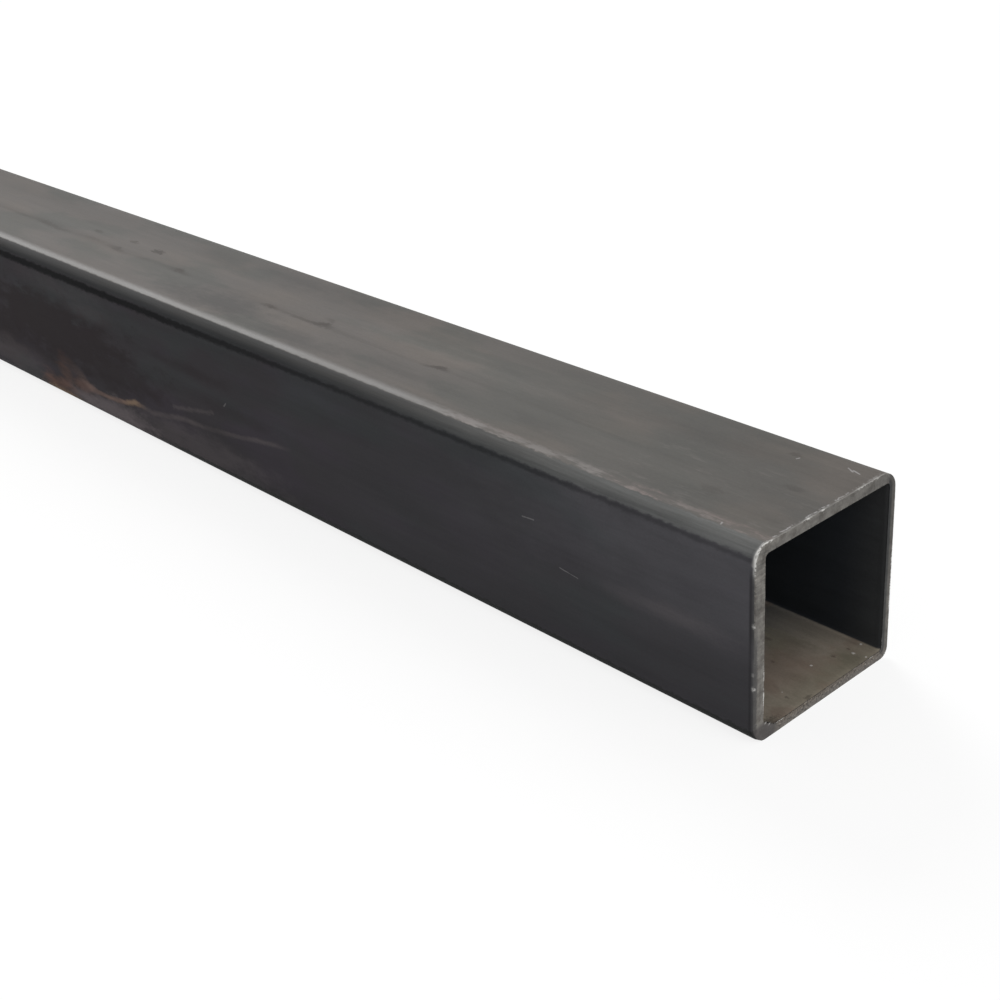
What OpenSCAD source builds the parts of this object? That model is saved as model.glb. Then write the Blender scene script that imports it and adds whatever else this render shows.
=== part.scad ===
// Length of square hollow section in plain carbon steel, cold rolled from strip,
// welded along its top face and saw cut at both ends.
// X runs along the stock and Z is up. The origin is at the middle of the face it lies on.

/* [Stock] */
// Length between the two saw cuts
stock_length = 1000; // [100:10:6000]

/* [Section] */
// Width across the two side faces
section_width = 50; // [30:1:120]
// Height from the bottom face to the top face
section_height = 50; // [30:1:120]
// Wall thickness
wall = 2.5; // [1.5:0.5:6]
// Radius of the rolled outside corners
corner_radius = 4.5; // [2:0.5:10]
// Radius of the inside corners
bore_radius = 1.2; // [0.4:0.1:4]

/* [Weld seam] */
// Place of the lengthwise weld across the top face, from its middle
seam_place = -2; // [-8:0.5:8]
// Width of the trimmed weld bead inside the bore
bead_width = 3; // [1:0.5:6]
// Height of the trimmed weld bead inside the bore
bead_height = 0.25; // [0.1:0.05:0.4]

/* [Cut ends] */
// Bevel that deburring leaves on the outside edge of each cut end
outside_bevel = 0.2; // [0.1:0.1:1]
// Bevel that deburring leaves on the inside edge of each cut end
inside_bevel = 0.2; // [0.1:0.1:0.4]

/* [Hidden] */
// Length that a cutting shape runs on past the face that it cuts
overrun = 1;
// Inside size of the section
bore_width = section_width - 2 * wall;
bore_height = section_height - 2 * wall;
// Radius of the round that the weld bead is part of, from its width and height
bead_radius = (pow(bead_width / 2, 2) + pow(bead_height, 2)) / (2 * bead_height);

$fn = 64;

// Stations along X as [place, growth], where growth is what the outline gains there.
// The outside of the stock shrinks to its end faces, and the bore flares past them.
function bevelled_ends() = [
    [-stock_length / 2, -outside_bevel],
    [-stock_length / 2 + outside_bevel, 0],
    [stock_length / 2 - outside_bevel, 0],
    [stock_length / 2, -outside_bevel],
];

function flared_ends() = [
    [-stock_length / 2 - overrun, inside_bevel + overrun],
    [-stock_length / 2 + inside_bevel, 0],
    [stock_length / 2 - inside_bevel, 0],
    [stock_length / 2 + overrun, inside_bevel + overrun],
];

// Both long edges of a lengthwise slice that is size across and follows the stations
function slice(stations, size) = concat(
    [for (s = stations) [s[0], size / 2 + s[1]]],
    [for (i = [len(stations) - 1 : -1 : 0]) [stations[i][0], -size / 2 - stations[i][1]]]
);

// Half outline of a round post about its own axis, from one end station to the other
function post(stations, radius) = concat(
    [[0, stations[0][0]]],
    [for (s = stations) [radius + s[1], s[0]]],
    [[0, stations[len(stations) - 1][0]]]
);

// Bar along X, centred on its axis: two crossed slabs with a round post in each corner
module rounded_bar(width, height, radius, stations) {
    linear_extrude(height - 2 * radius, center = true)
        polygon(slice(stations, width));
    rotate([90, 0, 0])
        linear_extrude(width - 2 * radius, center = true)
            polygon(slice(stations, height));
    for (side = [-1, 1], level = [-1, 1])
        translate([0, side * (width / 2 - radius), level * (height / 2 - radius)])
            rotate([0, 90, 0])
                rotate_extrude()
                    polygon(post(stations, radius));
}

// Inside weld bead, a low round along the roof of the bore
module weld_bead() {
    translate([0, seam_place, bore_height / 2 - bead_height + bead_radius])
        rotate([0, 90, 0])
            cylinder(h = stock_length + 4 * overrun, r = bead_radius, center = true);
}

module tube() {
    color([0.40, 0.39, 0.38])
        translate([0, 0, section_height / 2])
            difference() {
                rounded_bar(section_width, section_height, corner_radius, bevelled_ends());
                difference() {
                    rounded_bar(bore_width, bore_height, bore_radius, flared_ends());
                    weld_bead();
                }
            }
}

tube();
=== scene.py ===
"""Looks for a length of square hollow section: its rolled skin, saw-cut ends and dusty bore.

Sizes are millimetres and are turned into metres by MM where they reach Blender. A place on the
stock is counted from the centre of the right-hand cut: x is negative into the stock, y grows
away from the near side face, and z is up.
"""
import math

import bpy
import numpy as np
from mathutils import Matrix, Vector


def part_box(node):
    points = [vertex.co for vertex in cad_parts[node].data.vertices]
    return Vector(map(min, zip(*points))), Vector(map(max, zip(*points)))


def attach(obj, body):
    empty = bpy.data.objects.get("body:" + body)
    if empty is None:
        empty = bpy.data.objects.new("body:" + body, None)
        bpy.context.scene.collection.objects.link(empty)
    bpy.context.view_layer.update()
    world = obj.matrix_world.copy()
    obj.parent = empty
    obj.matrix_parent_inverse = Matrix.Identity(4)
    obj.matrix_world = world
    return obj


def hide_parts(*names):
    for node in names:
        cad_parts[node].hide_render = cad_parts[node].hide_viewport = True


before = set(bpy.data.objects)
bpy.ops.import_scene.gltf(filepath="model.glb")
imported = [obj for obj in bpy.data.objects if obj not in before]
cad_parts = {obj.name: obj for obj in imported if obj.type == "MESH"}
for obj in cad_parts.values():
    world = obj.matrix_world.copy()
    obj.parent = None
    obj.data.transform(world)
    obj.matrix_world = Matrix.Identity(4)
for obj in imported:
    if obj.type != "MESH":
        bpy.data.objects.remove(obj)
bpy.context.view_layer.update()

MM = 0.001

# Stock, read from the frame where the frame has it
LOW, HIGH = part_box("tube")
LENGTH = (HIGH.x - LOW.x) / MM
SIDE = (HIGH.z - LOW.z) / MM
HALF = SIDE / 2
WALL = 2.5
CORNER_RADIUS = 4.5
BORE_RADIUS = 1.2
BORE = SIDE - 2 * WALL
SEAM_PLACE = -2.0
BEAD_WIDTH = 3.0
BEAD_HEIGHT = 0.25

# Rolled shoulder along the upper near corner: the flats fall away before the corner begins
SHOULDER_WIDTH = 3.5
SHOULDER_ANGLE = math.radians(8)

# Cut ends
SAW_PLANE = 0.03
EDGE_BREAK = 0.06
# How far the burr may stand past the section, on the near, under, far and top faces
BURR_REACH = (0.0, 0.0, 0.1, 0.4)
INNER_RIM = 0.28
SKIN_END = 1.7
BORE_END = 1.0

# Height of a full burr over the edge that it stands on
BURR_HEIGHT = 0.36
# About where the middle of a corner lies, from the section's centre along y and z
CORNER_MIDDLE = 23.5

# Mesh density: steps along a flat and round a corner, then rings by their distance from a cut,
# close together near it and evenly spread from FAR_RINGS_START to half way along
FLAT_STEPS = 88
CORNER_STEPS = 14
RINGS_NEAR_CUT = [1.8, 2.6, 3.6, 5, 7, 9.5, 13, 18, 25, 35, 48, 64]
FAR_RINGS_START = 84
FAR_RINGS = 22
# Edges that are bent more than this stay sharp
SHARP_ANGLE = math.radians(32)

# Finishes, in the order of the materials on the mesh
SKIN, CUT, BORE_WALL = range(3)


# Section outlines, as (y, z) points about the section's centre with their outward normals

def outline(side, radius, shoulder_width=0.0, shoulder_angle=0.0):
    """Rounded square: far face going up, top going near, near face going down, bottom going far."""
    half = side / 2
    flat = half - radius
    slant = math.tan(shoulder_angle)
    drop = shoulder_width * slant / 2
    # The arc meets both flats where they end, at the angle that the shoulder has reached there
    arc_radius = (radius - drop) / (math.cos(shoulder_angle) - math.sin(shoulder_angle))
    centre = half - drop - arc_radius * math.cos(shoulder_angle)

    across = np.linspace(-flat, flat, FLAT_STEPS + 1)
    fall = np.zeros_like(across)
    slope = np.zeros_like(across)
    if shoulder_width:
        past = np.clip(np.abs(across) - (flat - shoulder_width), 0, None)
        slope = np.sign(across) * past / shoulder_width * slant
        fall = past ** 2 / shoulder_width * slant / 2
    angles = np.linspace(shoulder_angle, math.pi / 2 - shoulder_angle, CORNER_STEPS + 1)[1:-1]

    ray = np.stack([np.cos(angles), np.sin(angles)], 1)
    points = np.concatenate([np.stack([half - fall, across], 1), centre + arc_radius * ray])
    normals = np.concatenate([np.stack([np.ones_like(slope), slope], 1), ray])
    normals /= np.linalg.norm(normals, axis=1)[:, None]

    quarter = np.array([[0.0, 1.0], [-1.0, 0.0]])
    turns = [np.linalg.matrix_power(quarter, k) for k in range(4)]
    return np.concatenate([points @ t for t in turns]), np.concatenate([normals @ t for t in turns])


def skin_outline():
    """Outside of the stock, with the soft shoulder on its upper near corner only."""
    plain, plain_out = outline(SIDE, CORNER_RADIUS)
    soft, soft_out = outline(SIDE, CORNER_RADIUS, SHOULDER_WIDTH, SHOULDER_ANGLE)
    upper_near = ((plain[:, 0] < 0) & (plain[:, 1] > 0))[:, None]
    return np.where(upper_near, soft, plain), np.where(upper_near, soft_out, plain_out)


OUTER, OUTER_OUT = skin_outline()
INNER, INNER_OUT = outline(BORE, BORE_RADIUS)
AROUND = len(OUTER)


def ragged(seed, spacing):
    """Repeatable uneven values from 0 to 1 round a closed outline, one knot to spacing steps."""
    draw = np.random.default_rng(seed).random(max(4, round(AROUND / spacing)))
    places = np.linspace(0, len(draw), AROUND, endpoint=False)
    return np.interp(places, np.arange(len(draw) + 1), np.append(draw, draw[0]))


def near(points, y, z, reach):
    """Soft mask, 1 at the place (y, z) of a section and fading over reach."""
    return np.exp(-(np.hypot(points[:, 0] - y, points[:, 1] - z) / reach) ** 2)


# The right-hand cut, which the photograph shows

# Burr standing along the outside edge, as (y, z, reach, amount)
RIGHT_BURRS = [
    (-24.0, 24.0, 2.3, 1.0),
    (-20.5, 25.0, 2.0, 0.8),
    (-13.0, 25.0, 4.0, 0.2),
    (-6.5, 25.0, 2.0, 0.55),
    (-2.0, 25.0, 1.6, 0.55),
    (4.0, 25.0, 2.0, 0.25),
    (12.0, 25.0, 4.0, 0.45),
    (19.0, 25.0, 3.0, 0.45),
    (-25.0, 20.0, 1.8, 0.6),
    (-25.0, 6.0, 0.5, 0.9),
    (-25.0, -6.3, 0.3, 0.35),
    (-25.0, -10.0, 0.5, 0.45),
    (25.0, 14.0, 5.0, 0.5),
    (25.0, 2.0, 6.0, 0.9),
    (25.0, -12.0, 8.0, 0.95),
    (24.2, -24.2, 2.5, 0.6),
    (0.0, -25.0, 14.0, 0.15),
]
# Burr along the bore's edge
RIGHT_INNER_BURRS = [
    (-21.3, 10.0, 10.0, 0.3),
    (-21.3, -12.0, 8.0, 0.8),
    (-15.7, -22.6, 1.8, 0.7),
    (-6.0, -22.6, 0.9, 0.6),
    (1.8, -22.6, 0.6, 0.6),
    (6.2, -22.6, 0.9, 0.6),
    (12.3, -22.6, 1.6, 0.6),
    (18.0, -22.6, 1.8, 0.6),
    (23.4, -20.0, 3.0, 0.5),
]
# Corners that the burr fills out, as the direction of the corner, how far it swells and how wide
RIGHT_SWELLS = [(-1, 1, 1.2, 2.8), (1, -1, 0.7, 2.6)]
# Edges of the bore's mouth: a lip hangs in from the near wall, and the far edge is worn
RIGHT_MOUTH = {"near": -21.45, "far": 22.85, "low": -22.6, "top": 22.7}
MOUTH_TILT = 0.008
# How far the near wall's outside edge is rolled over before the cut
ROLLED_EDGE = 0.5
# Worn band down the lower part of the near wall's outside edge
WORN_BAND = 0.5
WORN_TOP = 2.0
# Tab that the saw broke off last, in the lower near corner of the bore, across and up
TAB_SIZE = (4.6, 3.1)
TAB_RAGGED = 0.25


def edge_burr(points, places, seed, everywhere):
    """Height of the burr round an outline, from its named places and a ragged edge."""
    base = everywhere + sum(amount * near(points, y, z, reach) for y, z, reach, amount in places)
    teeth = 0.45 * ragged(seed, 2.2) + 0.55 * ragged(seed + 1, 6)
    return np.clip(base * (0.2 + 1.2 * teeth), 0, 1)


def generic_burrs(seed, half):
    """Burr places for a cut that the photograph does not show."""
    draw = np.random.default_rng(seed)
    places = []
    for _ in range(9):
        along = draw.uniform(-half, half)
        y, z = [(half, along), (along, half), (-half, along), (along, -half)][draw.integers(4)]
        places.append((y, z, draw.uniform(2, 8), draw.uniform(0.3, 0.9)))
    return places


def mouth_outline(edges, tilt):
    """The bore's outline moved to where the edges of the mouth lie at the cut."""
    half = BORE / 2
    y = np.interp(INNER[:, 0], [-half, half], [edges["near"], edges["far"]])
    z = np.interp(INNER[:, 1], [-half, half], [edges["low"], edges["top"]])
    return np.stack([y, z - tilt * (y + half) * (z > 0)], 1)


def cut_face(burrs, inner_burrs, swells, mouth, worn, rolled, tab_size, seed):
    """Rings from the skin round the cut to the bore, as (depth, points, finish, wall, burr).

    Depth is how far the ring lies below the very end, wall runs from 0 outside to 1 in the bore.
    """
    burr = edge_burr(OUTER, burrs, seed, 0.08)
    inner_burr = edge_burr(mouth, inner_burrs, seed + 10, 0.06)
    face = SAW_PLANE + 0.03 * ragged(seed + 20, 22)
    none = np.zeros(AROUND)

    swell = none + sum(
        size * (0.93 + 0.07 * ragged(seed + 40, 3)) * near(OUTER, y * CORNER_MIDDLE, z * CORNER_MIDDLE, reach)
        for y, z, size, reach in swells
    )
    fill = np.zeros(AROUND)
    if tab_size:
        fill += 1 - sum((mouth[:, i] - mouth[:, i].min()) / tab_size[i] for i in (0, 1))
        fill -= TAB_RAGGED * ragged(seed + 30, 1.5)
    tab = np.clip(fill, 0, None)[:, None] / sum(1 / size for size in tab_size or [1])
    has_tab = np.clip(tab[:, 0] / 0.5, 0, 1)

    def outside(grow):
        grown = OUTER + OUTER_OUT * (swell + grow).reshape(-1, 1)
        reach_near, reach_under, reach_far, reach_top = BURR_REACH
        lowest = (-HALF - reach_near, -HALF - reach_under)
        return np.clip(grown, lowest, (HALF + reach_far, HALF + reach_top))

    def inside(grow, tab_share=0.0):
        return mouth - INNER_OUT * (none + grow).reshape(-1, 1) + tab * tab_share

    def towards_bore(share):
        return inside(0) * (1 - share) + INNER * share

    inner_burr = np.maximum(inner_burr, 0.9 * has_tab * ragged(seed + 50, 2.5))
    filled = np.clip(swell / 0.8 - 0.35, 0, 1) * (0.85 + 0.15 * ragged(seed + 70, 7))
    burr = np.maximum(burr, 0.8 * filled)
    proud = BURR_HEIGHT * burr
    rim = outside(-EDGE_BREAK - worn * 0.9 - rolled - 0.2)
    rings = [
        # Skin, up to where it swells or is rolled over
        (SKIN_END + none, OUTER, SKIN, 0.0, none),
        (0.85 + none, outside(-0.6 * swell), SKIN, 0.0, 0.5 * burr * (swell > 0.3)),
        # Outside edge with its burr
        (face + 0.08 + 0.1 * (1 - burr) + 0.3 * rolled, outside(proud - 0.03 - 0.9 * rolled), CUT, 0.0, burr),
        (face * (1 - burr) + worn * 0.3, outside(proud - EDGE_BREAK * (1 - burr) - worn * 0.5 - rolled),
         CUT, 0.03, burr),
        # Sawn face of the wall
        (face * (1 - 0.3 * burr), rim, CUT, 0.10, np.maximum(0.45 * burr, 0.7 * filled)),
        (face, rim * 0.86 + inside(0) * 0.14, CUT, 0.2, 0.3 * filled),
    ]
    for share in (0.38, 0.58, 0.77):
        rings.append((face, rim * (1 - share) + inside(0) * share, CUT, share, none))
    rings += [
        # Inside edge with its burr and the tab, then the mouth of the bore
        (face, inside(-INNER_RIM, 0.35), CUT, 0.9, 0.3 * inner_burr),
        (face * (1 - 0.8 * inner_burr), inside(0.12 * inner_burr, 1.0), CUT, 1.0, inner_burr),
        (face + 0.2 + 0.25 * has_tab, inside(0.04 * inner_burr, 0.85), BORE_WALL, 1.0, none),
        (face + 0.5, towards_bore(0.6) + tab * 0.3, BORE_WALL, 1.0, none),
    ]
    return rings


# Mesh of the whole stock: one closed surface, ring after ring

def bead(points):
    """The bore's outline with the trimmed weld bead let into its roof."""
    shaped = points.copy()
    reach = np.abs(points[:, 0] - SEAM_PLACE) / (BEAD_WIDTH / 2)
    on_roof = (points[:, 1] > BORE / 2 - 0.01) & (reach < 1)
    shaped[on_roof, 1] -= BEAD_HEIGHT * (1 - reach[on_roof] ** 2)
    return shaped


def depths(*first):
    """Distances of rings from a cut, up to half way along."""
    return list(first) + RINGS_NEAR_CUT + list(np.linspace(FAR_RINGS_START, LENGTH / 2, FAR_RINGS))


def stock_mesh():
    """Vertices, quads, and finish of each quad, wall share and burr of each vertex."""
    near_side = np.clip((-HALF + 3 - OUTER[:, 0]) / 2.5, 0, 1)
    worn = WORN_BAND * near_side * np.clip((WORN_TOP - OUTER[:, 1]) / 3, 0, 1)
    none = np.zeros(AROUND)
    right = cut_face(RIGHT_BURRS, RIGHT_INNER_BURRS, RIGHT_SWELLS, mouth_outline(RIGHT_MOUTH, MOUTH_TILT),
                     worn, ROLLED_EDGE * near_side, TAB_SIZE, seed=5)
    left = cut_face(generic_burrs(seed=41, half=HALF), generic_burrs(seed=42, half=BORE / 2), [], INNER,
                    none, none, tab_size=None, seed=60)
    bore = bead(INNER)
    half = LENGTH / 2
    rings = []  # (x, points, finish of the strip that follows, wall, burr)

    for d in depths():
        rings.append((-half + d + none, OUTER, SKIN, 0.0, none))
    for d in reversed(depths()[:-1]):
        rings.append((half - d + none, OUTER, SKIN, 0.0, none))
    for depth, points, finish, wall, burr in right:
        rings.append((half - depth, points, finish, wall, burr))
    for d in depths(BORE_END):
        rings.append((half - d + none, bore, BORE_WALL, 1.0, none))
    for d in reversed(depths(BORE_END)[:-1]):
        rings.append((-half + d + none, bore, BORE_WALL, 1.0, none))
    strips = [SKIN] + [finish for _, _, finish, _, _ in left]
    for i in reversed(range(len(left))):
        depth, points, _, wall, burr = left[i]
        rings.append((-half + depth, points, strips[i], wall, burr))

    count = len(rings)
    verts = np.concatenate([
        np.stack([x, points[:, 0], points[:, 1] + HALF], 1) for x, points, _, _, _ in rings
    ]) * MM
    ring = np.arange(count)[:, None] * AROUND
    after = (np.arange(count)[:, None] + 1) % count * AROUND
    step = np.arange(AROUND)[None, :]
    onward = (step + 1) % AROUND
    quads = np.stack([ring + step, ring + onward, after + onward, after + step], -1).reshape(-1, 4)
    finishes = np.repeat([finish for _, _, finish, _, _ in rings], AROUND)
    wall = np.concatenate([np.full(AROUND, wall) for _, _, _, wall, _ in rings])
    burr = np.concatenate([burr for _, _, _, _, burr in rings])
    return verts, quads, finishes, wall, burr


def build_stock(materials):
    verts, quads, finishes, wall, burr = stock_mesh()
    mesh = bpy.data.meshes.new("stock")
    mesh.from_pydata(verts.tolist(), [], quads.tolist())
    for m in materials:
        mesh.materials.append(m)
    mesh.polygons.foreach_set("material_index", finishes.astype(np.int32))
    mesh.polygons.foreach_set("use_smooth", np.ones(len(quads), bool))
    for name, values in (("wall", wall), ("burr", burr)):
        layer = mesh.attributes.new(name, "FLOAT", "POINT")
        layer.data.foreach_set("value", values.astype(np.float32))
    mesh.set_sharp_from_angle(angle=SHARP_ANGLE)
    mesh.update()
    obj = bpy.data.objects.new("stock", mesh)
    bpy.context.scene.collection.objects.link(obj)
    return obj


# Materials

def linear(r, g, b):
    """A colour written as it shows on a screen, from 0 to 255, for a shader."""
    def channel(v):
        v /= 255
        return v / 12.92 if v <= 0.04045 else ((v + 0.055) / 1.055) ** 2.4
    return (channel(r), channel(g), channel(b), 1.0)


class Tree:
    """Short hand for one material's nodes. Numbers, colours and sockets all serve as inputs."""

    def __init__(self, owner):
        self.owner = owner
        owner.use_nodes = True
        self.tree = owner.node_tree
        self.tree.nodes.clear()

    def node(self, kind, **settings):
        made = self.tree.nodes.new(kind)
        for key, value in settings.items():
            setattr(made, key, value)
        return made

    def feed(self, socket, value):
        if isinstance(value, bpy.types.NodeSocket):
            self.tree.links.new(value, socket)
        else:
            socket.default_value = value

    def math(self, operation, a, b=0.0, clamp=False):
        made = self.node("ShaderNodeMath", operation=operation, use_clamp=clamp)
        self.feed(made.inputs[0], a)
        self.feed(made.inputs[1], b)
        return made.outputs[0]

    def add(self, *values):
        total = values[0]
        for v in values[1:]:
            total = self.math("ADD", total, v)
        return total

    def sub(self, a, b):
        return self.math("SUBTRACT", a, b)

    def mul(self, *values):
        total = values[0]
        for v in values[1:]:
            total = self.math("MULTIPLY", total, v)
        return total

    def union(self, *masks):
        total = masks[0]
        for m in masks[1:]:
            total = self.math("MAXIMUM", total, m)
        return total

    def ramp(self, value, low, high, to_low=0.0, to_high=1.0, kind="SMOOTHSTEP"):
        """value taken from low..high to to_low..to_high, held at both ends."""
        made = self.node("ShaderNodeMapRange", interpolation_type=kind, clamp=True)
        for i, v in enumerate((value, low, high, to_low, to_high)):
            self.feed(made.inputs[i], v)
        return made.outputs[0]

    def swing(self, value, amount, spread=0.25):
        """Noise taken to -amount..amount, with its usual middle part spread over that range."""
        return self.ramp(value, 0.5 - spread, 0.5 + spread, -amount, amount, "LINEAR")

    def band(self, value, low, high, soft):
        """1 between low and high, fading over soft outside them."""
        return self.mul(self.ramp(value, low - soft, low), self.ramp(value, high, high + soft, 1.0, 0.0))

    def noise(self, place, scale, detail=3.0, roughness=0.55, shift=0.0):
        """Noise about 0.5 with scale = waves per millimetre along x, y and z."""
        made = self.node("ShaderNodeTexNoise")
        stretch = self.node("ShaderNodeVectorMath", operation="MULTIPLY_ADD")
        self.feed(stretch.inputs[0], place)
        stretch.inputs[1].default_value = scale
        stretch.inputs[2].default_value = (shift, shift * 0.7, -shift)
        self.feed(made.inputs["Vector"], stretch.outputs[0])
        self.feed(made.inputs["Scale"], 1.0)
        self.feed(made.inputs["Detail"], detail)
        self.feed(made.inputs["Roughness"], roughness)
        return made.outputs[0]

    def mix(self, factor, a, b):
        made = self.node("ShaderNodeMix", data_type="RGBA")
        self.feed(made.inputs[0], factor)
        self.feed(made.inputs[6], a)
        self.feed(made.inputs[7], b)
        return made.outputs[2]

    def tint(self, colour, factor):
        """colour made lighter or darker by a number."""
        made = self.node("ShaderNodeVectorMath", operation="SCALE")
        self.feed(made.inputs[0], colour)
        self.feed(made.inputs["Scale"], factor)
        return made.outputs[0]

    def attribute(self, name):
        return self.node("ShaderNodeAttribute", attribute_name=name).outputs["Fac"]

    def place(self):
        """Place in millimetres from the centre of the right-hand cut, then its x, y and z."""
        coords = self.node("ShaderNodeTexCoord").outputs["Object"]
        made = self.node("ShaderNodeVectorMath", operation="MULTIPLY_ADD")
        self.feed(made.inputs[0], coords)
        made.inputs[1].default_value = (1 / MM,) * 3
        made.inputs[2].default_value = (-LENGTH / 2, 0.0, -HALF)
        split = self.node("ShaderNodeSeparateXYZ")
        self.feed(split.inputs[0], made.outputs[0])
        return made.outputs[0], *split.outputs

    def spot(self, place, axes, at, size, soft=0.6, wobble=0.0):
        """Blot on a face: 1 inside an ellipse of half axes size at the place at, along two axes."""
        scale, shift = [0.0] * 3, [0.0] * 3
        for axis, centre, reach in zip(axes, at, size):
            scale["xyz".index(axis)] = 1 / reach
            shift["xyz".index(axis)] = -centre / reach
        apart = self.node("ShaderNodeVectorMath", operation="MULTIPLY_ADD")
        self.feed(apart.inputs[0], place)
        apart.inputs[1].default_value = scale
        apart.inputs[2].default_value = shift
        gap = self.node("ShaderNodeVectorMath", operation="LENGTH")
        self.feed(gap.inputs[0], apart.outputs[0])
        return self.ramp(self.add(gap.outputs["Value"], wobble), 1 - soft, 1 + soft, 1.0, 0.0)

    def spots(self, place, axes, rows, wobble):
        """The strongest of several blots, from rows of (place, half size, softness, strength)."""
        return self.union(*[
            self.mul(self.spot(place, axes, at, size, soft, wobble), k) for at, size, soft, k in rows
        ])

    def profile(self, x, rows, low, high):
        """Three values that change along x as the rows (x, a, b, c) say, each held in low..high."""
        first, last = rows[0][0], rows[-1][0]
        made = self.node("ShaderNodeValToRGB")
        stops = made.color_ramp.elements
        while len(stops) < len(rows):
            stops.new(0.5)
        for stop, (at, *_) in zip(stops, rows):
            stop.position = (at - first) / (last - first)
        for stop, (at, *values) in zip(stops, rows):
            stop.color = (*[(v - low) / (high - low) for v in values], 1.0)
        self.feed(made.inputs[0], self.ramp(x, first, last, kind="LINEAR"))
        split = self.node("ShaderNodeSeparateXYZ")
        self.feed(split.inputs[0], made.outputs[0])
        return [self.add(self.mul(value, high - low), low) for value in split.outputs]

    def stroke(self, u, v, start, end, width, soft=0.5, wobble=0.0):
        """Line on a face from start to end: 1 within half its width, fading over soft of it."""
        du, dv = end[0] - start[0], end[1] - start[1]
        pu = self.sub(u, start[0])
        pv = self.sub(v, start[1])
        scale = 1 / (du * du + dv * dv)
        along = self.math("ADD", self.mul(pu, du * scale), self.mul(pv, dv * scale), clamp=True)
        qu = self.sub(pu, self.mul(along, du))
        qv = self.sub(pv, self.mul(along, dv))
        gap = self.math("SQRT", self.add(self.mul(qu, qu), self.mul(qv, qv)))
        return self.ramp(self.add(gap, wobble), width / 2 * (1 - soft), width / 2 * (1 + soft), 1.0, 0.0)

    def finish(self, colour, roughness, height, height_mm, **constants):
        """Principled surface from a colour, a roughness and a relief, with plain numbers for the rest."""
        shader = self.node("ShaderNodeBsdfPrincipled")
        self.feed(shader.inputs["Base Color"], colour)
        self.feed(shader.inputs["Roughness"], roughness)
        for key, value in constants.items():
            shader.inputs[key.replace("_", " ")].default_value = value
        bump = self.node("ShaderNodeBump")
        bump.inputs["Strength"].default_value = 1.0
        bump.inputs["Distance"].default_value = height_mm * MM
        self.feed(bump.inputs["Height"], height)
        self.tree.links.new(bump.outputs[0], shader.inputs["Normal"])
        out = self.node("ShaderNodeOutputMaterial")
        self.tree.links.new(shader.outputs[0], out.inputs["Surface"])
        return self.owner


# Rolled skin

TOP_LEFT = linear(97, 93, 90)
TOP_RIGHT = linear(91, 89, 86)
TOP_WARM = linear(102, 96, 91)
TOP_COOL = linear(80, 82, 79)
TOP_CLOUD = linear(70, 69, 68)
NEAR_LEFT = linear(55, 52, 55)
NEAR_RIGHT = linear(60, 59, 62)
NEAR_BRIGHT = linear(82, 81, 85)
NEAR_BROWN = linear(39, 33, 35)
NEAR_PALE = linear(122, 114, 116)
NEAR_VIOLET = linear(66, 58, 70)
NEAR_GREEN = linear(58, 66, 66)
FAR_TONE = linear(74, 72, 73)
UNDER_TONE = linear(78, 75, 73)
# Painted highlight on the rubbed shoulder strip; the faded tone also colours pale scuffs on the top face
STRIP_HIGHLIGHT = linear(115, 113, 111)
FADED_HIGHLIGHT_AND_SCUFF = linear(122, 117, 114)
ROSY_STRIP_HIGHLIGHT = linear(128, 114, 110)
# Painted reflections: the round of the upper near corner and the dark line below it
ROUND_REFLECTION_LEFT = linear(43, 44, 45)
ROUND_REFLECTION_RIGHT = linear(102, 103, 102)
DARK_REFLECTION_LINE = linear(5, 5, 7)
FOOT_DARK = linear(34, 36, 35)
BLOT_TONE = linear(62, 57, 54)
RUST_RED = linear(116, 90, 80)
RUST_YELLOW = linear(150, 128, 108)
RUST_LINE = linear(138, 116, 106)
RUST_PALE = linear(106, 99, 99)
SCRATCH_TONE = linear(170, 168, 168)

# Stain along the weld line on the top face, as (x, strength, place across, half width). The last
# two are shares: of the way from one y of STAIN_ACROSS to the other, and of STAIN_WIDTH.
STAIN_ACROSS = (-18.8, 17.2)
STAIN_WIDTH = 5.0
SEAM_STAIN = [
    (-400, 0.04, 0.46, 0.14), (-360, 0.08, 0.45, 0.14), (-350, 0.35, 0.44, 0.16), (-343, 0.12, 0.46, 0.18),
    (-336, 0.60, 0.46, 0.26), (-330, 0.40, 0.44, 0.22), (-324, 0.50, 0.43, 0.20), (-316, 0.03, 0.45, 0.14),
    (-305, 0.35, 0.48, 0.18), (-296, 0.03, 0.46, 0.14), (-288, 0.75, 0.46, 0.30), (-283, 0.30, 0.43, 0.16),
    (-277, 0.03, 0.45, 0.14), (-272, 0.40, 0.45, 0.20), (-266, 0.03, 0.46, 0.14), (-257, 0.12, 0.47, 0.20),
    (-252, 1.00, 0.48, 0.30), (-248, 0.50, 0.46, 0.18), (-243, 0.03, 0.45, 0.14), (-207, 0.04, 0.45, 0.14),
    (-201, 0.90, 0.45, 0.20), (-196, 0.20, 0.45, 0.16), (-188, 0.50, 0.44, 0.14), (-181, 0.65, 0.44, 0.16),
    (-176, 0.95, 0.48, 0.34), (-171, 0.20, 0.45, 0.20), (-132, 0.14, 0.44, 0.12), (-129, 0.60, 0.44, 0.14),
    (-125, 0.90, 0.48, 0.24), (-121, 0.08, 0.46, 0.14), (-60, 0.13, 0.44, 0.12), (-30, 0.02, 0.44, 0.14),
]
# Where the weld line itself lies across the top face
WELD_LINE = -2.2
# Smudges beside the weld line, as (x, y), half size, softness, strength
TOP_SMUDGES = [
    ((-310, 4.0), (2.6, 0.9), 0.6, 0.5),
    ((-289.5, 5.2), (2.3, 0.9), 0.6, 0.6),
    ((-273.4, 4.5), (2.8, 1.3), 0.6, 0.95),
    ((-177.5, 1.6), (2.2, 0.8), 0.6, 0.4),
    ((-11, 2.5), (2.4, 1.0), 0.6, 0.3),
    ((-25, -9.5), (3.0, 1.6), 0.6, 0.25),
    ((-21.5, 16.2), (1.8, 0.8), 0.6, 0.4),
]
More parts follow.
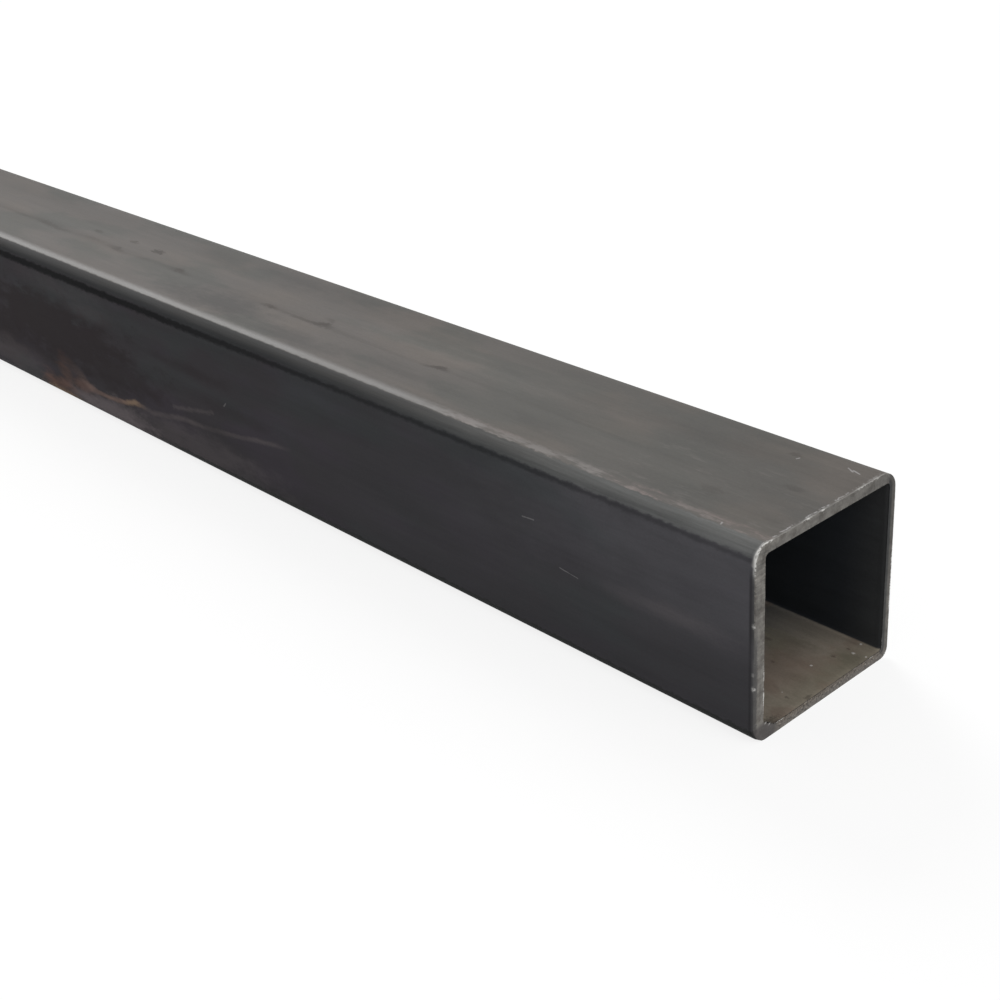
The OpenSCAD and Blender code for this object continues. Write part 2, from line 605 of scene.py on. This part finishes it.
# Broad darker clouds on the top face, in the same way
TOP_CLOUDS = [
    ((-385, 11), (9, 4), 0.9, 0.3),
    ((-252, 13), (14, 3), 0.9, 0.4),
    ((-213, 16), (15, 4), 0.9, 0.55),
    ((-216, -10), (22, 5.5), 0.9, 0.85),
    ((-184, 17), (18, 4.5), 0.9, 0.45),
    ((-178, -13.5), (16, 4.0), 0.9, 0.6),
    ((-138, -10), (20, 3), 0.9, 0.35),
    ((-81, -10), (9, 2.5), 0.9, 0.25),
    ((-40, 12), (22, 6), 0.9, 0.25),
]
# Short bright scratches on the top face, as start, end, width
TOP_SCRATCHES = [
    ((-8.2, 18.2), (-6.3, 17.3), 0.35),
    ((-6.5, 17.9), (-4.4, 17.3), 0.35),
    ((-20.0, 14.6), (-19.7, 15.4), 0.3),
    ((-13.4, -19.6), (-13.2, -20.2), 0.4),
]
# Scratches on the near side face, as (x, z)
NEAR_SCRATCHES = [
    ((-71.2, 8.6), (-67.2, 8.9), 0.3),
    ((-59.0, -1.2), (-53.0, -1.9), 0.25),
    ((-199.0, 1.0), (-197.8, 2.2), 0.4),
]
# Brown clouds and pale patches on the near side face, as (x, z), half size, softness, strength
BROWN_CLOUDS = [
    ((-300, 1), (46, 12), 0.45, 1.0),
    ((-264, -5), (26, 7), 0.6, 0.85),
    ((-340, -6), (28, 8), 0.8, 0.9),
    ((-215, 8.0), (18, 1.8), 0.8, 0.5),
    ((-192, -0.5), (16, 2.0), 0.8, 0.35),
]
PALE_PATCHES = [
    ((-292, 17), (22, 3), 0.7, 0.11),
    ((-274, 13), (12, 2.6), 0.8, 0.15),
    ((-268, -20.5), (22, 4.2), 0.7, 1.0),
    ((-220, -18), (30, 5), 0.9, 0.32),
    ((-335, -17), (20, 5), 0.7, 0.3),
    ((-24, 0), (14, 2.2), 0.9, 0.2),
]
# Heart of the rust, where it came up from the lower edge, in the same way
RUST_HEART = [
    ((-302, -20.0), (8, 3.4), 0.7, 1.0),
    ((-296, -14.5), (4, 5.0), 0.8, 0.55),
    ((-286, -16.4), (7, 1.8), 0.8, 0.7),
]
# Rust that ran along the near face, as (x, height, width, strength)
RUST_RUN = [
    (-296, -9.0, 4.0, 0.0), (-291, -10.8, 4.6, 1.2), (-285, -13.2, 4.2, 3.0), (-280, -15.6, 2.4, 6.5),
    (-276, -15.9, 1.6, 8.5), (-268, -15.6, 1.4, 8.5), (-259, -14.8, 1.6, 9.5), (-252, -12.9, 2.0, 10.0),
    (-248, -13.0, 1.6, 6.0), (-242, -13.6, 1.6, 5.0), (-232, -11.8, 1.8, 5.5), (-223, -10.2, 1.7, 6.0),
    (-212, -9.7, 1.4, 4.5), (-205, -8.8, 1.5, 3.6), (-198, -8.0, 1.5, 4.5), (-190, -6.8, 1.4, 3.6),
    (-184, -5.6, 1.6, 4.5), (-174, -4.2, 1.4, 4.0), (-166, -3.4, 1.2, 0.0),
]


class Skin:
    """Pattern of the mill scale, made part by part from masks and noises that the parts share."""

    def __init__(self, t):
        self.t = t
        self.here, self.x, self.y, self.z = t.place()
        here, y, z = self.here, self.y, self.z
        across = t.math("ABSOLUTE", y)

        # Across each upper corner: 4 where the top begins to round, 0 half way round, -4 on the side
        self.turn = t.sub(z, across)
        self.upward = t.ramp(self.turn, -1.0, 2.0)
        self.downward = t.ramp(t.sub(t.mul(z, -1.0), across), -1.5, 1.5)
        self.near_half = t.ramp(y, -4.0, 0.0, 1.0, 0.0)
        self.on_near = t.ramp(y, -24.6, -22.5, 1.0, 0.0)
        self.on_top = t.ramp(z, 24.0, 24.9)

        self.streak = t.noise(here, (0.008, 0.22, 0.22), 5, 0.6)
        self.fine_streak = t.noise(here, (0.06, 1.6, 1.6), 4, 0.65, 11)
        self.cloud = t.noise(here, (0.028, 0.09, 0.09), 4, 0.52, 23)
        self.hue = t.noise(here, (0.020, 0.05, 0.05), 3, 0.5, 37)
        self.hue_two = t.noise(here, (0.026, 0.07, 0.07), 3, 0.5, 137)
        self.grain = t.noise(here, (1.3, 1.9, 1.9), 4, 0.7, 5)
        self.patch = t.noise(here, (0.11, 0.5, 0.5), 4, 0.65, 71)
        self.wobble = t.swing(t.noise(here, (0.10, 0.22, 0.22), 5, 0.65, 51), 0.55, 0.2)
        self.fine_wobble = t.swing(t.noise(here, (0.4, 0.8, 0.8), 5, 0.7, 57), 0.75, 0.2)

    def weld_stain(self):
        """Strength of the stain along the weld line, from the table and made up beyond it."""
        t, x, y = self.t, self.x, self.y
        rough = t.mul(self.fine_wobble, 0.9)
        stain, share_across, share_width = t.profile(x, SEAM_STAIN, 0.0, 1.0)
        place = t.ramp(share_across, 0, 1, *STAIN_ACROSS, "LINEAR")
        off_stain = t.math("DIVIDE", t.math("ABSOLUTE", t.sub(y, place)), t.mul(share_width, STAIN_WIDTH))
        seen = t.mul(t.ramp(t.add(off_stain, rough), 0.3, 1.5, 1, 0), stain)
        off_weld = t.add(t.math("ABSOLUTE", t.sub(y, WELD_LINE)), rough)
        blots = t.ramp(t.noise(self.here, (0.10, 0.12, 0.0), 4, 0.6, 151), 0.54, 0.66, 0, 0.8)
        unseen = t.mul(t.ramp(off_weld, 0.3, 1.5, 1, 0), blots, t.ramp(x, -430, -390, 1, 0))
        return t.union(seen, unseen)

    def top_face(self, stain):
        """Colour of the top face, with warm, cool and dark areas, the weld line and smudges."""
        t, x, y = self.t, self.x, self.y
        top = t.mix(t.ramp(x, -150, -70), TOP_LEFT, TOP_RIGHT)
        top = t.mix(t.ramp(self.hue, 0.46, 0.62, 0, 0.65), top, TOP_WARM)
        cool = t.mul(t.ramp(self.hue_two, 0.46, 0.62, 0, 0.55), t.ramp(x, -140, -80, 1.0, 0.5))
        top = t.mix(cool, top, TOP_COOL)
        darker_far = t.ramp(y, 3, 15, 1.0, t.ramp(x, -250, -80, 0.84, 0.93))
        worn_patch = t.mul(t.spot(self.here, "xy", (-128, 4.5), (42, 6), 0.7, self.wobble), 0.10)
        # Painted shade: the top face darker towards the far left end
        painted_shade_left = t.ramp(x, -430, -310, 0.84, 1.0)
        top = t.tint(top, t.mul(darker_far, t.add(1.0, worn_patch), painted_shade_left))
        clouds = t.spots(self.here, "xy", TOP_CLOUDS, self.wobble)
        top = t.mix(t.mul(clouds, 0.9), top, TOP_CLOUD)
        near_weld = t.ramp(t.math("ABSOLUTE", t.sub(y, WELD_LINE)), 0.3, 3.2, 1, 0)
        top = t.tint(top, t.sub(1.0, t.mul(near_weld, t.ramp(x, -210, -150, 0.13, 0.03))))
        smudges = t.spots(self.here, "xy", TOP_SMUDGES, self.fine_wobble)
        top = t.mix(t.mul(t.union(stain, smudges), 0.9), top, BLOT_TONE)
        scuffs = t.mul(t.band(x, -45, -4, 12), t.band(y, -18, 4, 5))
        scuffs = t.mul(scuffs, t.ramp(self.patch, 0.54, 0.70, 0, 0.25))
        return t.mix(scuffs, top, FADED_HIGHLIGHT_AND_SCUFF)

    def side_faces(self):
        """Colour of the two side faces, the near one brighter towards the visible cut."""
        t, x, z = self.t, self.x, self.z
        side = t.mix(t.ramp(x, -230, -90), NEAR_LEFT, NEAR_RIGHT)
        towards_cut = t.ramp(t.add(x, t.mul(self.wobble, 20)), -110, -5)
        side = t.mix(t.mul(towards_cut, t.ramp(z, -14, 14, 0.05, 1.0)), side, NEAR_BRIGHT)
        violet = t.mul(t.ramp(self.hue_two, 0.48, 0.64, 0, 0.25), t.ramp(x, -160, -60, 1.0, 0.4))
        side = t.mix(violet, side, NEAR_VIOLET)
        side = t.mix(t.ramp(self.hue, 0.48, 0.64, 0, 0.3), side, NEAR_GREEN)
        return t.mix(self.near_half, FAR_TONE, side)

    def near_clouds(self, colour):
        """Brown clouds and pale patches on the near side face."""
        t = self.t
        brown = t.spots(self.here, "xz", BROWN_CLOUDS, self.wobble)
        colour = t.mix(t.mul(brown, self.on_near, 0.85), colour, NEAR_BROWN)
        pale = t.spots(self.here, "xz", PALE_PATCHES, self.wobble)
        return t.mix(t.mul(pale, self.on_near, 0.8), colour, NEAR_PALE)

    def round_reflections(self, colour, torn):
        """Painted reflection on the round of the upper near corner, grey and lighter towards the cut, and a
        painted dark reflected line below it.
        """
        t, x = self.t, self.x
        round_off = t.mul(t.ramp(torn, -2.2, -0.8), t.ramp(torn, 3.6, 4.6, 1.0, 0.0), self.near_half)
        rolled = t.noise(self.here, (0.03, 0.7, 0.7), 4, 0.65, 61)
        round_reflection = t.mix(t.ramp(x, -180, 20), ROUND_REFLECTION_LEFT, ROUND_REFLECTION_RIGHT)
        round_reflection = t.tint(round_reflection, t.ramp(rolled, 0.3, 0.7, 0.72, 1.28, "LINEAR"))
        colour = t.mix(t.mul(round_off, 0.85), colour, round_reflection)

        # Painted dark reflection along the foot of the round, fading towards the cut
        head = t.add(self.turn, t.mul(self.fine_wobble, 0.6))
        foot = t.sub(head, t.ramp(x, -260, -110, 0, 1.15))
        line = t.mul(t.ramp(foot, -5.0, -3.7), t.ramp(head, -2.3, -1.1, 1, 0), self.near_half)
        fading = t.mul(t.ramp(x, -240, 0, 1.0, 0.36, "LINEAR"), t.ramp(self.streak, 0.35, 0.62, 0.88, 1.0))
        return t.mix(t.mul(line, fading), colour, DARK_REFLECTION_LINE)

    def upper_corner(self, colour):
        """Rubbed strip on the shoulder above the round, with a painted highlight brightest at the left, worn
        into chips towards the cut.
        """
        t, x = self.t, self.x
        worn_in = t.ramp(x, -125, -82)
        torn = t.add(self.turn, t.mul(self.fine_wobble, t.ramp(worn_in, 0, 1, 0.25, 0.7)))
        colour = self.round_reflections(colour, torn)

        strip = t.mul(t.ramp(torn, 3.9, 4.6), t.ramp(torn, 5.4, 8.2, 1.0, 0.0), self.near_half)
        # Painted highlight: the strip's brightness, falling off towards the cut
        light = t.mul(
            t.ramp(t.add(x, t.mul(self.wobble, 25)), -108, -82, 1.0, 0.62),
            t.ramp(x, -40, -5, 1.0, 0.76),
            t.ramp(x, -75, -55, 1.0, 1.15),
            t.ramp(x, -320, -270, 0.93, 1.0),
            t.ramp(self.streak, 0.3, 0.7, 0.85, 1.08),
        )
        chips = t.ramp(self.patch, 0.40, 0.56, 0.25, 1.25)
        light = t.mul(light, t.add(t.sub(1.0, worn_in), t.mul(worn_in, chips)))
        rosy = t.mul(worn_in, t.ramp(self.hue_two, 0.45, 0.6))
        strip_highlight_colour = t.mix(worn_in, STRIP_HIGHLIGHT, t.mix(rosy, FADED_HIGHLIGHT_AND_SCUFF, ROSY_STRIP_HIGHLIGHT))
        rubbed_and_highlight = t.mul(strip, light)
        return t.mix(t.mul(rubbed_and_highlight, 0.95), colour, strip_highlight_colour), rubbed_and_highlight

    def rust(self, colour):
        """Rust that came up from the lower edge and ran along the near face."""
        t, x, z = self.t, self.x, self.z
        broken = t.ramp(self.patch, 0.34, 0.6, 0.55, 1.0)
        heart = t.spots(self.here, "xz", RUST_HEART, self.wobble)
        edge = t.spot(self.here, "xz", (-301, -23.0), (10, 1.6), 0.6, self.fine_wobble)
        height, width, strength = t.profile(x, RUST_RUN, -17.0, 12.0)
        off_run = t.math("ABSOLUTE", t.sub(t.add(z, t.mul(self.fine_wobble, 0.35)), height))
        run = t.mul(t.ramp(t.math("DIVIDE", off_run, width), 0.1, 0.85, 1, 0), strength, 0.1, broken)
        wisp = t.stroke(x, z, (-228, -7.6), (-206, -3.2), 1.2, 0.95, t.mul(self.fine_wobble, 0.6))
        run_colour = t.mix(t.ramp(x, -262, -254), RUST_LINE, RUST_YELLOW)
        run_colour = t.mix(t.ramp(x, -252, -244), run_colour, RUST_PALE)
        colour = t.mix(t.mul(heart, self.near_half, broken, 0.75), colour, RUST_RED)
        colour = t.mix(t.mul(edge, self.near_half, broken, 0.85), colour, RUST_YELLOW)
        colour = t.mix(t.mul(run, self.on_near, 0.9), colour, run_colour)
        colour = t.mix(t.mul(wisp, self.on_near, broken, 0.32), colour, RUST_PALE)
        return colour, t.mul(t.union(heart, run), self.on_near)

    def darker_foot(self, colour):
        """Darker band along the foot of the near side face."""
        t = self.t
        foot = t.band(t.add(self.z, t.mul(self.fine_wobble, 0.8)), -24.6, -21.6, 0.7)
        lengthwise = t.ramp(t.add(self.x, t.mul(self.wobble, 30)), -265, -215, 0.1, 0.85)
        return t.mix(t.mul(foot, self.near_half, lengthwise), colour, FOOT_DARK)

    def life(self, colour):
        """Lighter and darker streaks, clouds and grain all over."""
        t = self.t
        return t.tint(colour, t.add(
            t.swing(self.streak, 0.08, 0.2), t.swing(self.fine_streak, 0.03),
            t.swing(self.cloud, 0.13, 0.2), t.swing(self.grain, 0.05, 0.2), 1.0,
        ))

    def scratches(self):
        """Mask of the bright scratches on the top and near side faces."""
        t, x = self.t, self.x
        soft, wobble = 0.8, t.mul(self.fine_wobble, 0.15)
        top = [t.stroke(x, self.y, a, b, w, soft, wobble) for a, b, w in TOP_SCRATCHES]
        near_face = [t.stroke(x, self.z, a, b, w, soft, wobble) for a, b, w in NEAR_SCRATCHES]
        return t.union(t.mul(t.union(*top), self.on_top), t.mul(t.union(*near_face), self.on_near, 0.45))

    def folded_burr(self):
        """Burr folded back over the top face along the cut."""
        t, here = self.t, self.here
        bend = t.ramp(t.noise(here, (0.0, 0.5, 0.0), 3, 0.6, 83), 0.3, 0.7, 1.3, 0.6, "LINEAR")
        folds = t.ramp(t.math("ABSOLUTE", t.add(self.x, bend)), 0.08, 0.32, 1, 0)
        folds = t.mul(folds, t.ramp(t.noise(here, (0.1, 0.8, 0.1), 3, 0.6, 91), 0.46, 0.56), self.on_top)
        return t.mul(folds, t.ramp(self.y, 3, 9, 0.9, 0.45))

    def by_the_cut(self, colour):
        """Painted shade where the near edge is rolled over, and a painted highlight on the swollen corners'
        burr, partly bright bare metal.
        """
        t, x, z = self.t, self.x, self.z
        rolled_over = t.mul(t.ramp(x, -1.7, -1.0), self.on_near, t.ramp(z, 17, 21, 1, 0),
                            t.ramp(z, -1, 5, 0.35, 0.6))
        colour = t.tint(colour, t.sub(1.0, rolled_over))
        # Painted highlight on the swollen corners' burr
        swollen = t.mul(t.attribute("burr"), t.ramp(x, -1.6, -0.4))
        return t.mix(t.mul(swollen, 0.9), colour, BURR_HIGHLIGHT)


def skin_material():
    t = Tree(bpy.data.materials.new("mill_scale"))
    skin = Skin(t)

    stain = skin.weld_stain()
    colour = t.mix(skin.upward, skin.side_faces(), skin.top_face(stain))
    colour = t.mix(skin.downward, colour, UNDER_TONE)
    colour = skin.near_clouds(colour)
    colour, rubbed_and_highlight = skin.upper_corner(colour)
    colour, rusty = skin.rust(colour)
    colour = skin.life(skin.darker_foot(colour))
    scratches = skin.scratches()
    folds = skin.folded_burr()
    colour = t.mix(t.mul(scratches, 0.6), colour, SCRATCH_TONE)
    colour = t.mix(t.mul(folds, 0.7), colour, SCRATCH_TONE)
    colour = skin.by_the_cut(colour)

    roughness = t.add(t.ramp(skin.upward, 0, 1, 0.82, 0.74), t.swing(skin.cloud, 0.05),
                      t.mul(rubbed_and_highlight, -0.22), t.mul(rusty, 0.1))
    relief = t.add(t.mul(skin.grain, 0.6), t.mul(skin.fine_streak, 0.4), t.mul(stain, -0.3),
                   t.mul(scratches, -1.0), t.mul(folds, 2.0), t.mul(rusty, 0.5))
    return t.finish(colour, roughness, relief, 0.02, Specular_IOR_Level=0.15)


# Saw-cut ends

CUT_TONE = linear(112, 109, 104)
CUT_PALE = linear(126, 123, 118)
CUT_DARK = linear(80, 75, 70)
# Painted highlight on burrs, partly bright bare metal
BURR_HIGHLIGHT = linear(225, 224, 220)
TAB_SHADE = linear(70, 66, 66)
DUST_CUT = linear(110, 104, 98)
DUST_EDGE = linear(106, 98, 89)
WORN_EDGE_SHADE = linear(76, 75, 75)
# Painted shade for the far wall's rounded inner edge
FAR_EDGE_SHADE = linear(28, 30, 32)


def cut_material():
    t = Tree(bpy.data.materials.new("saw_cut"))
    here, x, y, z = t.place()
    burr = t.attribute("burr")
    wall = t.attribute("wall")

    tooth = t.noise(here, (0.2, 0.10, 0.75), 2, 0.6, 3)
    stroke = t.noise(here, (0.2, 1.3, 0.07), 3, 0.6, 13)
    mottle = t.noise(here, (0.3, 0.36, 0.36), 5, 0.6, 29)
    grain = t.noise(here, (2.2, 2.2, 2.2), 3, 0.7, 41)
    specks = t.noise(here, (1.3, 1.6, 1.6), 2, 0.6, 67)
    pits = t.noise(here, (1.1, 1.4, 1.4), 2, 0.6, 79)
    on_right = t.ramp(x, -100, -50)
    edge = t.math("ABSOLUTE", t.sub(wall, 0.5))

    colour = t.mix(t.ramp(mottle, 0.50, 0.62, 0, 0.6), CUT_TONE, CUT_DARK)
    colour = t.mix(t.ramp(mottle, 0.40, 0.52, 0.8, 0), colour, CUT_PALE)
    sawn = t.mul(t.swing(tooth, 0.38, 0.14), t.ramp(y, -22, -20, 1.0, 0.4), t.ramp(z, 5, 16, 0.3, 1.0))
    at_edge = t.ramp(edge, 0.30, 0.48, 0.12, 1.0)
    edge_specks = t.mul(t.sub(t.ramp(specks, 0.56, 0.70, 0, 0.9), t.ramp(pits, 0.56, 0.68, 0, 0.5)), at_edge)
    lengthwise = t.mul(t.swing(stroke, 0.18, 0.2), t.ramp(y, -22, -20, 1.0, 0.15))
    life = t.add(sawn, edge_specks, lengthwise, t.swing(grain, 0.16), 1.0)
    shade = t.mul(t.ramp(y, -20, 20, 1.0, 0.76, "LINEAR"), t.ramp(z, 5, 22, 1.0, 0.88, "LINEAR"))
    shade = t.add(t.mul(t.sub(shade, 1.0), on_right), 1.0)
    colour = t.tint(colour, t.mul(life, shade))

    low_wall = t.mul(t.ramp(z, -23.0, -22.0, 1, 0), t.ramp(y, -18, -15), on_right)
    dotted = t.add(t.ramp(specks, 0.55, 0.66, 0, 0.8), t.ramp(pits, 0.50, 0.62, 1.0, 0.35))
    dusty = t.mix(t.ramp(wall, 0.5, 0.85), DUST_CUT, DUST_EDGE)
    colour = t.mix(t.mul(low_wall, t.ramp(wall, 0.1, 0.6, 0.5, 1.0)), colour, t.tint(dusty, dotted))
    # Painted shade on the inner part of the far wall's cut face, where its edge rounds into the bore
    far_wall_shade = t.mul(t.ramp(y, 22.3, 22.6), t.ramp(wall, 0.28, 0.68), t.ramp(z, -20, 20, 0.8, 0.97))
    far_shade = t.mul(t.ramp(y, 22, 24), t.ramp(z, -16, 12, 0.08, 0.36), on_right)
    colour = t.tint(colour, t.sub(1.0, far_shade))
    colour = t.mix(t.mul(far_wall_shade, on_right), colour, FAR_EDGE_SHADE)
    # Painted shade on the worn, rounded band down the near wall's edge of the cut
    worn = t.mul(t.ramp(t.add(y, t.swing(pits, 0.3)), -24.0, -23.6, 1, 0), on_right)
    worn = t.mul(worn, t.ramp(z, -1, 9, 1.0, 0.25), t.ramp(z, 14, 20, 0.85, 0))
    colour = t.mix(worn, colour, WORN_EDGE_SHADE)
    # Painted shade on the bent tab that the saw broke off last
    tab = t.spot(here, "yz", (-21.6, -23.4), (4.8, 3.0), 0.25, t.swing(mottle, 0.2))
    colour = t.mix(t.mul(tab, on_right, 0.8), colour, TAB_SHADE)
    # Painted highlight on the burr along the cut's edges, partly bright bare metal
    lit = t.ramp(t.mul(burr, t.ramp(specks, 0.38, 0.58, 0.6, 1.25)), 0.3, 0.85)
    colour = t.mix(t.mul(lit, 0.85), colour, BURR_HIGHLIGHT)

    roughness = t.ramp(tooth, 0.3, 0.7, 0.5, 0.65, "LINEAR")
    relief = t.add(t.mul(tooth, 1.0), t.mul(stroke, 1.0), t.mul(grain, 0.4))
    return t.finish(colour, roughness, relief, 0.04, Specular_IOR_Level=0.3, Metallic=0.15)


# Bore

DUST_TONE = linear(147, 138, 125)
DUST_DEEP_SHADE = linear(95, 94, 91)
DUST_BROWN = linear(118, 103, 92)
DUST_OLIVE = linear(112, 108, 92)
BORE_TONE = linear(42, 45, 49)
BORE_MOUTH_LIGHT = linear(58, 59, 60)
GRIT_DARK = linear(60, 52, 46)
GRIT_PALE = linear(215, 213, 208)

# Bits of dirt and swarf on the floor of the bore, as (x, y), half size, then whether they are bright
BORE_BITS = [
    ((-8.2, 6.6), (0.28, 0.28), True),
    ((-4.0, 17.3), (0.40, 0.35), True),
    ((-5.0, 21.6), (0.22, 0.22), True),
    ((-0.9, 18.0), (0.20, 0.25), True),
    ((-6.5, -6.6), (0.16, 0.16), True),
    ((-6.8, 13.2), (0.6, 0.5), False),
    ((-6.1, 18.0), (0.5, 0.3), False),
    ((-4.3, -7.5), (0.5, 0.4), False),
    ((-0.9, -4.3), (0.6, 1.0), False),
    ((-23.2, 9.1), (1.0, 0.6), False),
    ((-16.0, 2.0), (0.5, 0.3), False),
]


def bore_material():
    t = Tree(bpy.data.materials.new("bore_scale"))
    here, x, y, z = t.place()
    streak = t.noise(here, (0.04, 0.4, 0.4), 5, 0.6, 7)
    cloud = t.noise(here, (0.08, 0.12, 0.12), 5, 0.6, 17)
    olive = t.noise(here, (0.07, 0.11, 0.11), 5, 0.6, 107)
    grain = t.noise(here, (1.6, 1.6, 1.6), 4, 0.7, 27)
    floor_mask = t.ramp(z, -22.3, -21.95, 1, 0)
    depth = t.math("MINIMUM", t.mul(x, -1.0), t.add(x, LENGTH))

    # Dust, with painted shade deeper into the bore
    dust = t.mix(t.ramp(depth, 3, 38), DUST_TONE, DUST_DEEP_SHADE)
    dust = t.mix(t.ramp(cloud, 0.44, 0.62, 0, 0.65), dust, DUST_BROWN)
    dust = t.mix(t.ramp(olive, 0.50, 0.66, 0, 0.6), dust, DUST_OLIVE)
    swept = t.spot(here, "xy", (-3, 2), (10, 13), 0.8, t.swing(olive, 0.5))
    ragged_edge = t.swing(cloud, 0.6)
    dust = t.mix(t.mul(t.spot(here, "xy", (-3, 8), (4, 14), 0.8, ragged_edge), 0.5), dust, DUST_OLIVE)
    dust = t.mix(t.mul(t.spot(here, "xy", (-13, 1), (6, 8), 0.8, ragged_edge), 0.55), dust, DUST_BROWN)
    dust = t.tint(dust, t.ramp(swept, 0, 1, 0.92, 1.12, "LINEAR"))
    # Painted shadow of the tab on the bore floor
    tab_shadow = t.spot(here, "xy", (-1.1, -18.2), (1.4, 3.0), 0.6, t.swing(grain, 0.6, 0.2))
    dust = t.tint(dust, t.sub(1.0, t.mul(tab_shadow, 0.5)))
    seam_dust = t.mul(t.ramp(y, 20.6, 22.0), t.ramp(y, 22.2, 22.5, 1, 0))
    dust = t.tint(dust, t.add(1.0, t.mul(seam_dust, 0.1)))
    # Painted light: the bore wall lighter towards the mouth, then painted shade on the flared lip
    skin = t.mix(t.ramp(depth, 0, 14, 1, 0), BORE_TONE, BORE_MOUTH_LIGHT)
    skin = t.tint(skin, t.ramp(depth, 0.0, 2.4, 0.55, 1.0))
    colour = t.mix(floor_mask, skin, dust)
    life = t.add(t.swing(streak, 0.08, 0.2), t.swing(cloud, 0.09, 0.2), t.swing(grain, 0.10), 1.0)
    colour = t.tint(colour, life)
    wobble = t.swing(grain, 0.7, 0.2)
    dark = [t.spot(here, "xy", at, size, 0.7, wobble) for at, size, bright in BORE_BITS if not bright]
    pale = [t.spot(here, "xy", at, size, 0.5, wobble) for at, size, bright in BORE_BITS if bright]
    colour = t.mix(t.mul(t.union(*dark), floor_mask, 0.45), colour, GRIT_DARK)
    colour = t.mix(t.mul(t.union(*pale), floor_mask, 0.8), colour, GRIT_PALE)

    roughness = t.ramp(cloud, 0.3, 0.7, 0.7, 0.85, "LINEAR")
    relief = t.add(t.mul(grain, 0.6), t.mul(streak, 0.6))
    return t.finish(colour, roughness, relief, 0.03, Specular_IOR_Level=0.15)


# Floor, light and camera

# Half the width of the floor, in metres
FLOOR_REACH = 12.0
FLOOR_COLOUR = (0.6, 0.6, 0.6, 1)
FLOOR_SHADE = (0.19, 0.19, 0.19, 1)
FLOOR_GLOW = 0.83


def seen_directly(t):
    """1 for what the camera, a reflection or clear glass sees, 0 for what lights the object."""
    path = t.node("ShaderNodeLightPath").outputs
    return t.union(path["Is Camera Ray"], path["Is Glossy Ray"], path["Is Transmission Ray"])


def floor_material():
    """Pale floor that shows white where it is fully lit and keeps the object's shadow."""
    t = Tree(bpy.data.materials.new("floor"))
    plain = t.node("ShaderNodeBsdfDiffuse")
    plain.inputs["Color"].default_value = FLOOR_COLOUR
    shaded = t.node("ShaderNodeBsdfDiffuse")
    shaded.inputs["Color"].default_value = FLOOR_SHADE
    glow = t.node("ShaderNodeEmission")
    glow.inputs["Color"].default_value = (1, 1, 1, 1)
    glow.inputs["Strength"].default_value = FLOOR_GLOW
    both = t.node("ShaderNodeAddShader")
    t.tree.links.new(shaded.outputs[0], both.inputs[0])
    t.tree.links.new(glow.outputs[0], both.inputs[1])
    choice = t.node("ShaderNodeMixShader")
    t.feed(choice.inputs[0], seen_directly(t))
    t.tree.links.new(plain.outputs[0], choice.inputs[1])
    t.tree.links.new(both.outputs[0], choice.inputs[2])
    out = t.node("ShaderNodeOutputMaterial")
    t.tree.links.new(choice.outputs[0], out.inputs["Surface"])
    return t.owner


def build_floor():
    mesh = bpy.data.meshes.new("floor")
    corners = [(-1, -1), (1, -1), (1, 1), (-1, 1)]
    mesh.from_pydata([(x * FLOOR_REACH, y * FLOOR_REACH, 0) for x, y in corners], [], [(0, 1, 2, 3)])
    mesh.materials.append(floor_material())
    floor = bpy.data.objects.new("floor", mesh)
    bpy.context.scene.collection.objects.link(floor)


WORLD_LEVEL = 0.5


def build_world():
    world = bpy.data.worlds.new("studio")
    bpy.context.scene.world = world
    t = Tree(world)
    background = t.node("ShaderNodeBackground")
    background.inputs["Color"].default_value = (1, 1, 1, 1)
    t.feed(background.inputs["Strength"], t.ramp(seen_directly(t), 0, 1, WORLD_LEVEL, 1.0, "LINEAR"))
    out = t.node("ShaderNodeOutputWorld")
    t.tree.links.new(background.outputs[0], out.inputs["Surface"])


# Lamps, as the direction they shine from, strength, and how wide they look in degrees
LAMPS = {
    "key": ((-0.76, 0.36, 0.54), 1.5, 26),
    "mouth_fill": ((0.80, -0.06, 0.60), 1.15, 50),
}


def build_lamps():
    for name, (towards, strength, spread) in LAMPS.items():
        data = bpy.data.lights.new(name, "SUN")
        data.energy = strength
        data.angle = math.radians(spread)
        lamp = bpy.data.objects.new(name, data)
        lamp.rotation_mode = "QUATERNION"
        lamp.rotation_quaternion = Vector(towards).to_track_quat("Z", "Y")
        bpy.context.scene.collection.objects.link(lamp)


# Camera, placed in sides of the section from the centre of the right-hand cut
CAMERA_PLACE = (3.7643, -5.1907, 3.8934)
CAMERA_AZIMUTH = math.radians(48.71)
CAMERA_ELEVATION = math.radians(27.41)
CAMERA_ROLL = math.radians(4.02)
FRAME_PIXELS = 1000
FOCAL_PIXELS = 1644.2


def build_camera():
    back = Vector((
        math.sin(CAMERA_AZIMUTH) * math.cos(CAMERA_ELEVATION),
        -math.cos(CAMERA_AZIMUTH) * math.cos(CAMERA_ELEVATION),
        math.sin(CAMERA_ELEVATION),
    ))
    right = (-back).cross(Vector((0, 0, 1))).normalized()
    up = back.cross(right)
    c, s = math.cos(CAMERA_ROLL), math.sin(CAMERA_ROLL)
    right, up = c * right - s * up, s * right + c * up
    data = bpy.data.cameras.new("camera")
    data.sensor_width = 36.0
    data.lens = data.sensor_width * FOCAL_PIXELS / FRAME_PIXELS
    data.clip_start = 0.01
    data.clip_end = 100.0
    camera = bpy.data.objects.new("camera", data)
    turned = Matrix((right, up, back)).transposed().to_4x4()
    cut_centre = Vector((LENGTH / 2, 0, HALF))
    turned.translation = (cut_centre + SIDE * Vector(CAMERA_PLACE)) * MM
    camera.matrix_world = turned
    bpy.context.scene.collection.objects.link(camera)
    bpy.context.scene.camera = camera


build_camera()
build_world()
build_floor()
build_lamps()

stock = build_stock([skin_material(), cut_material(), bore_material()])
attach(stock, "root")
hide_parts("tube")

bpy.context.scene.view_settings.view_transform = "Standard"
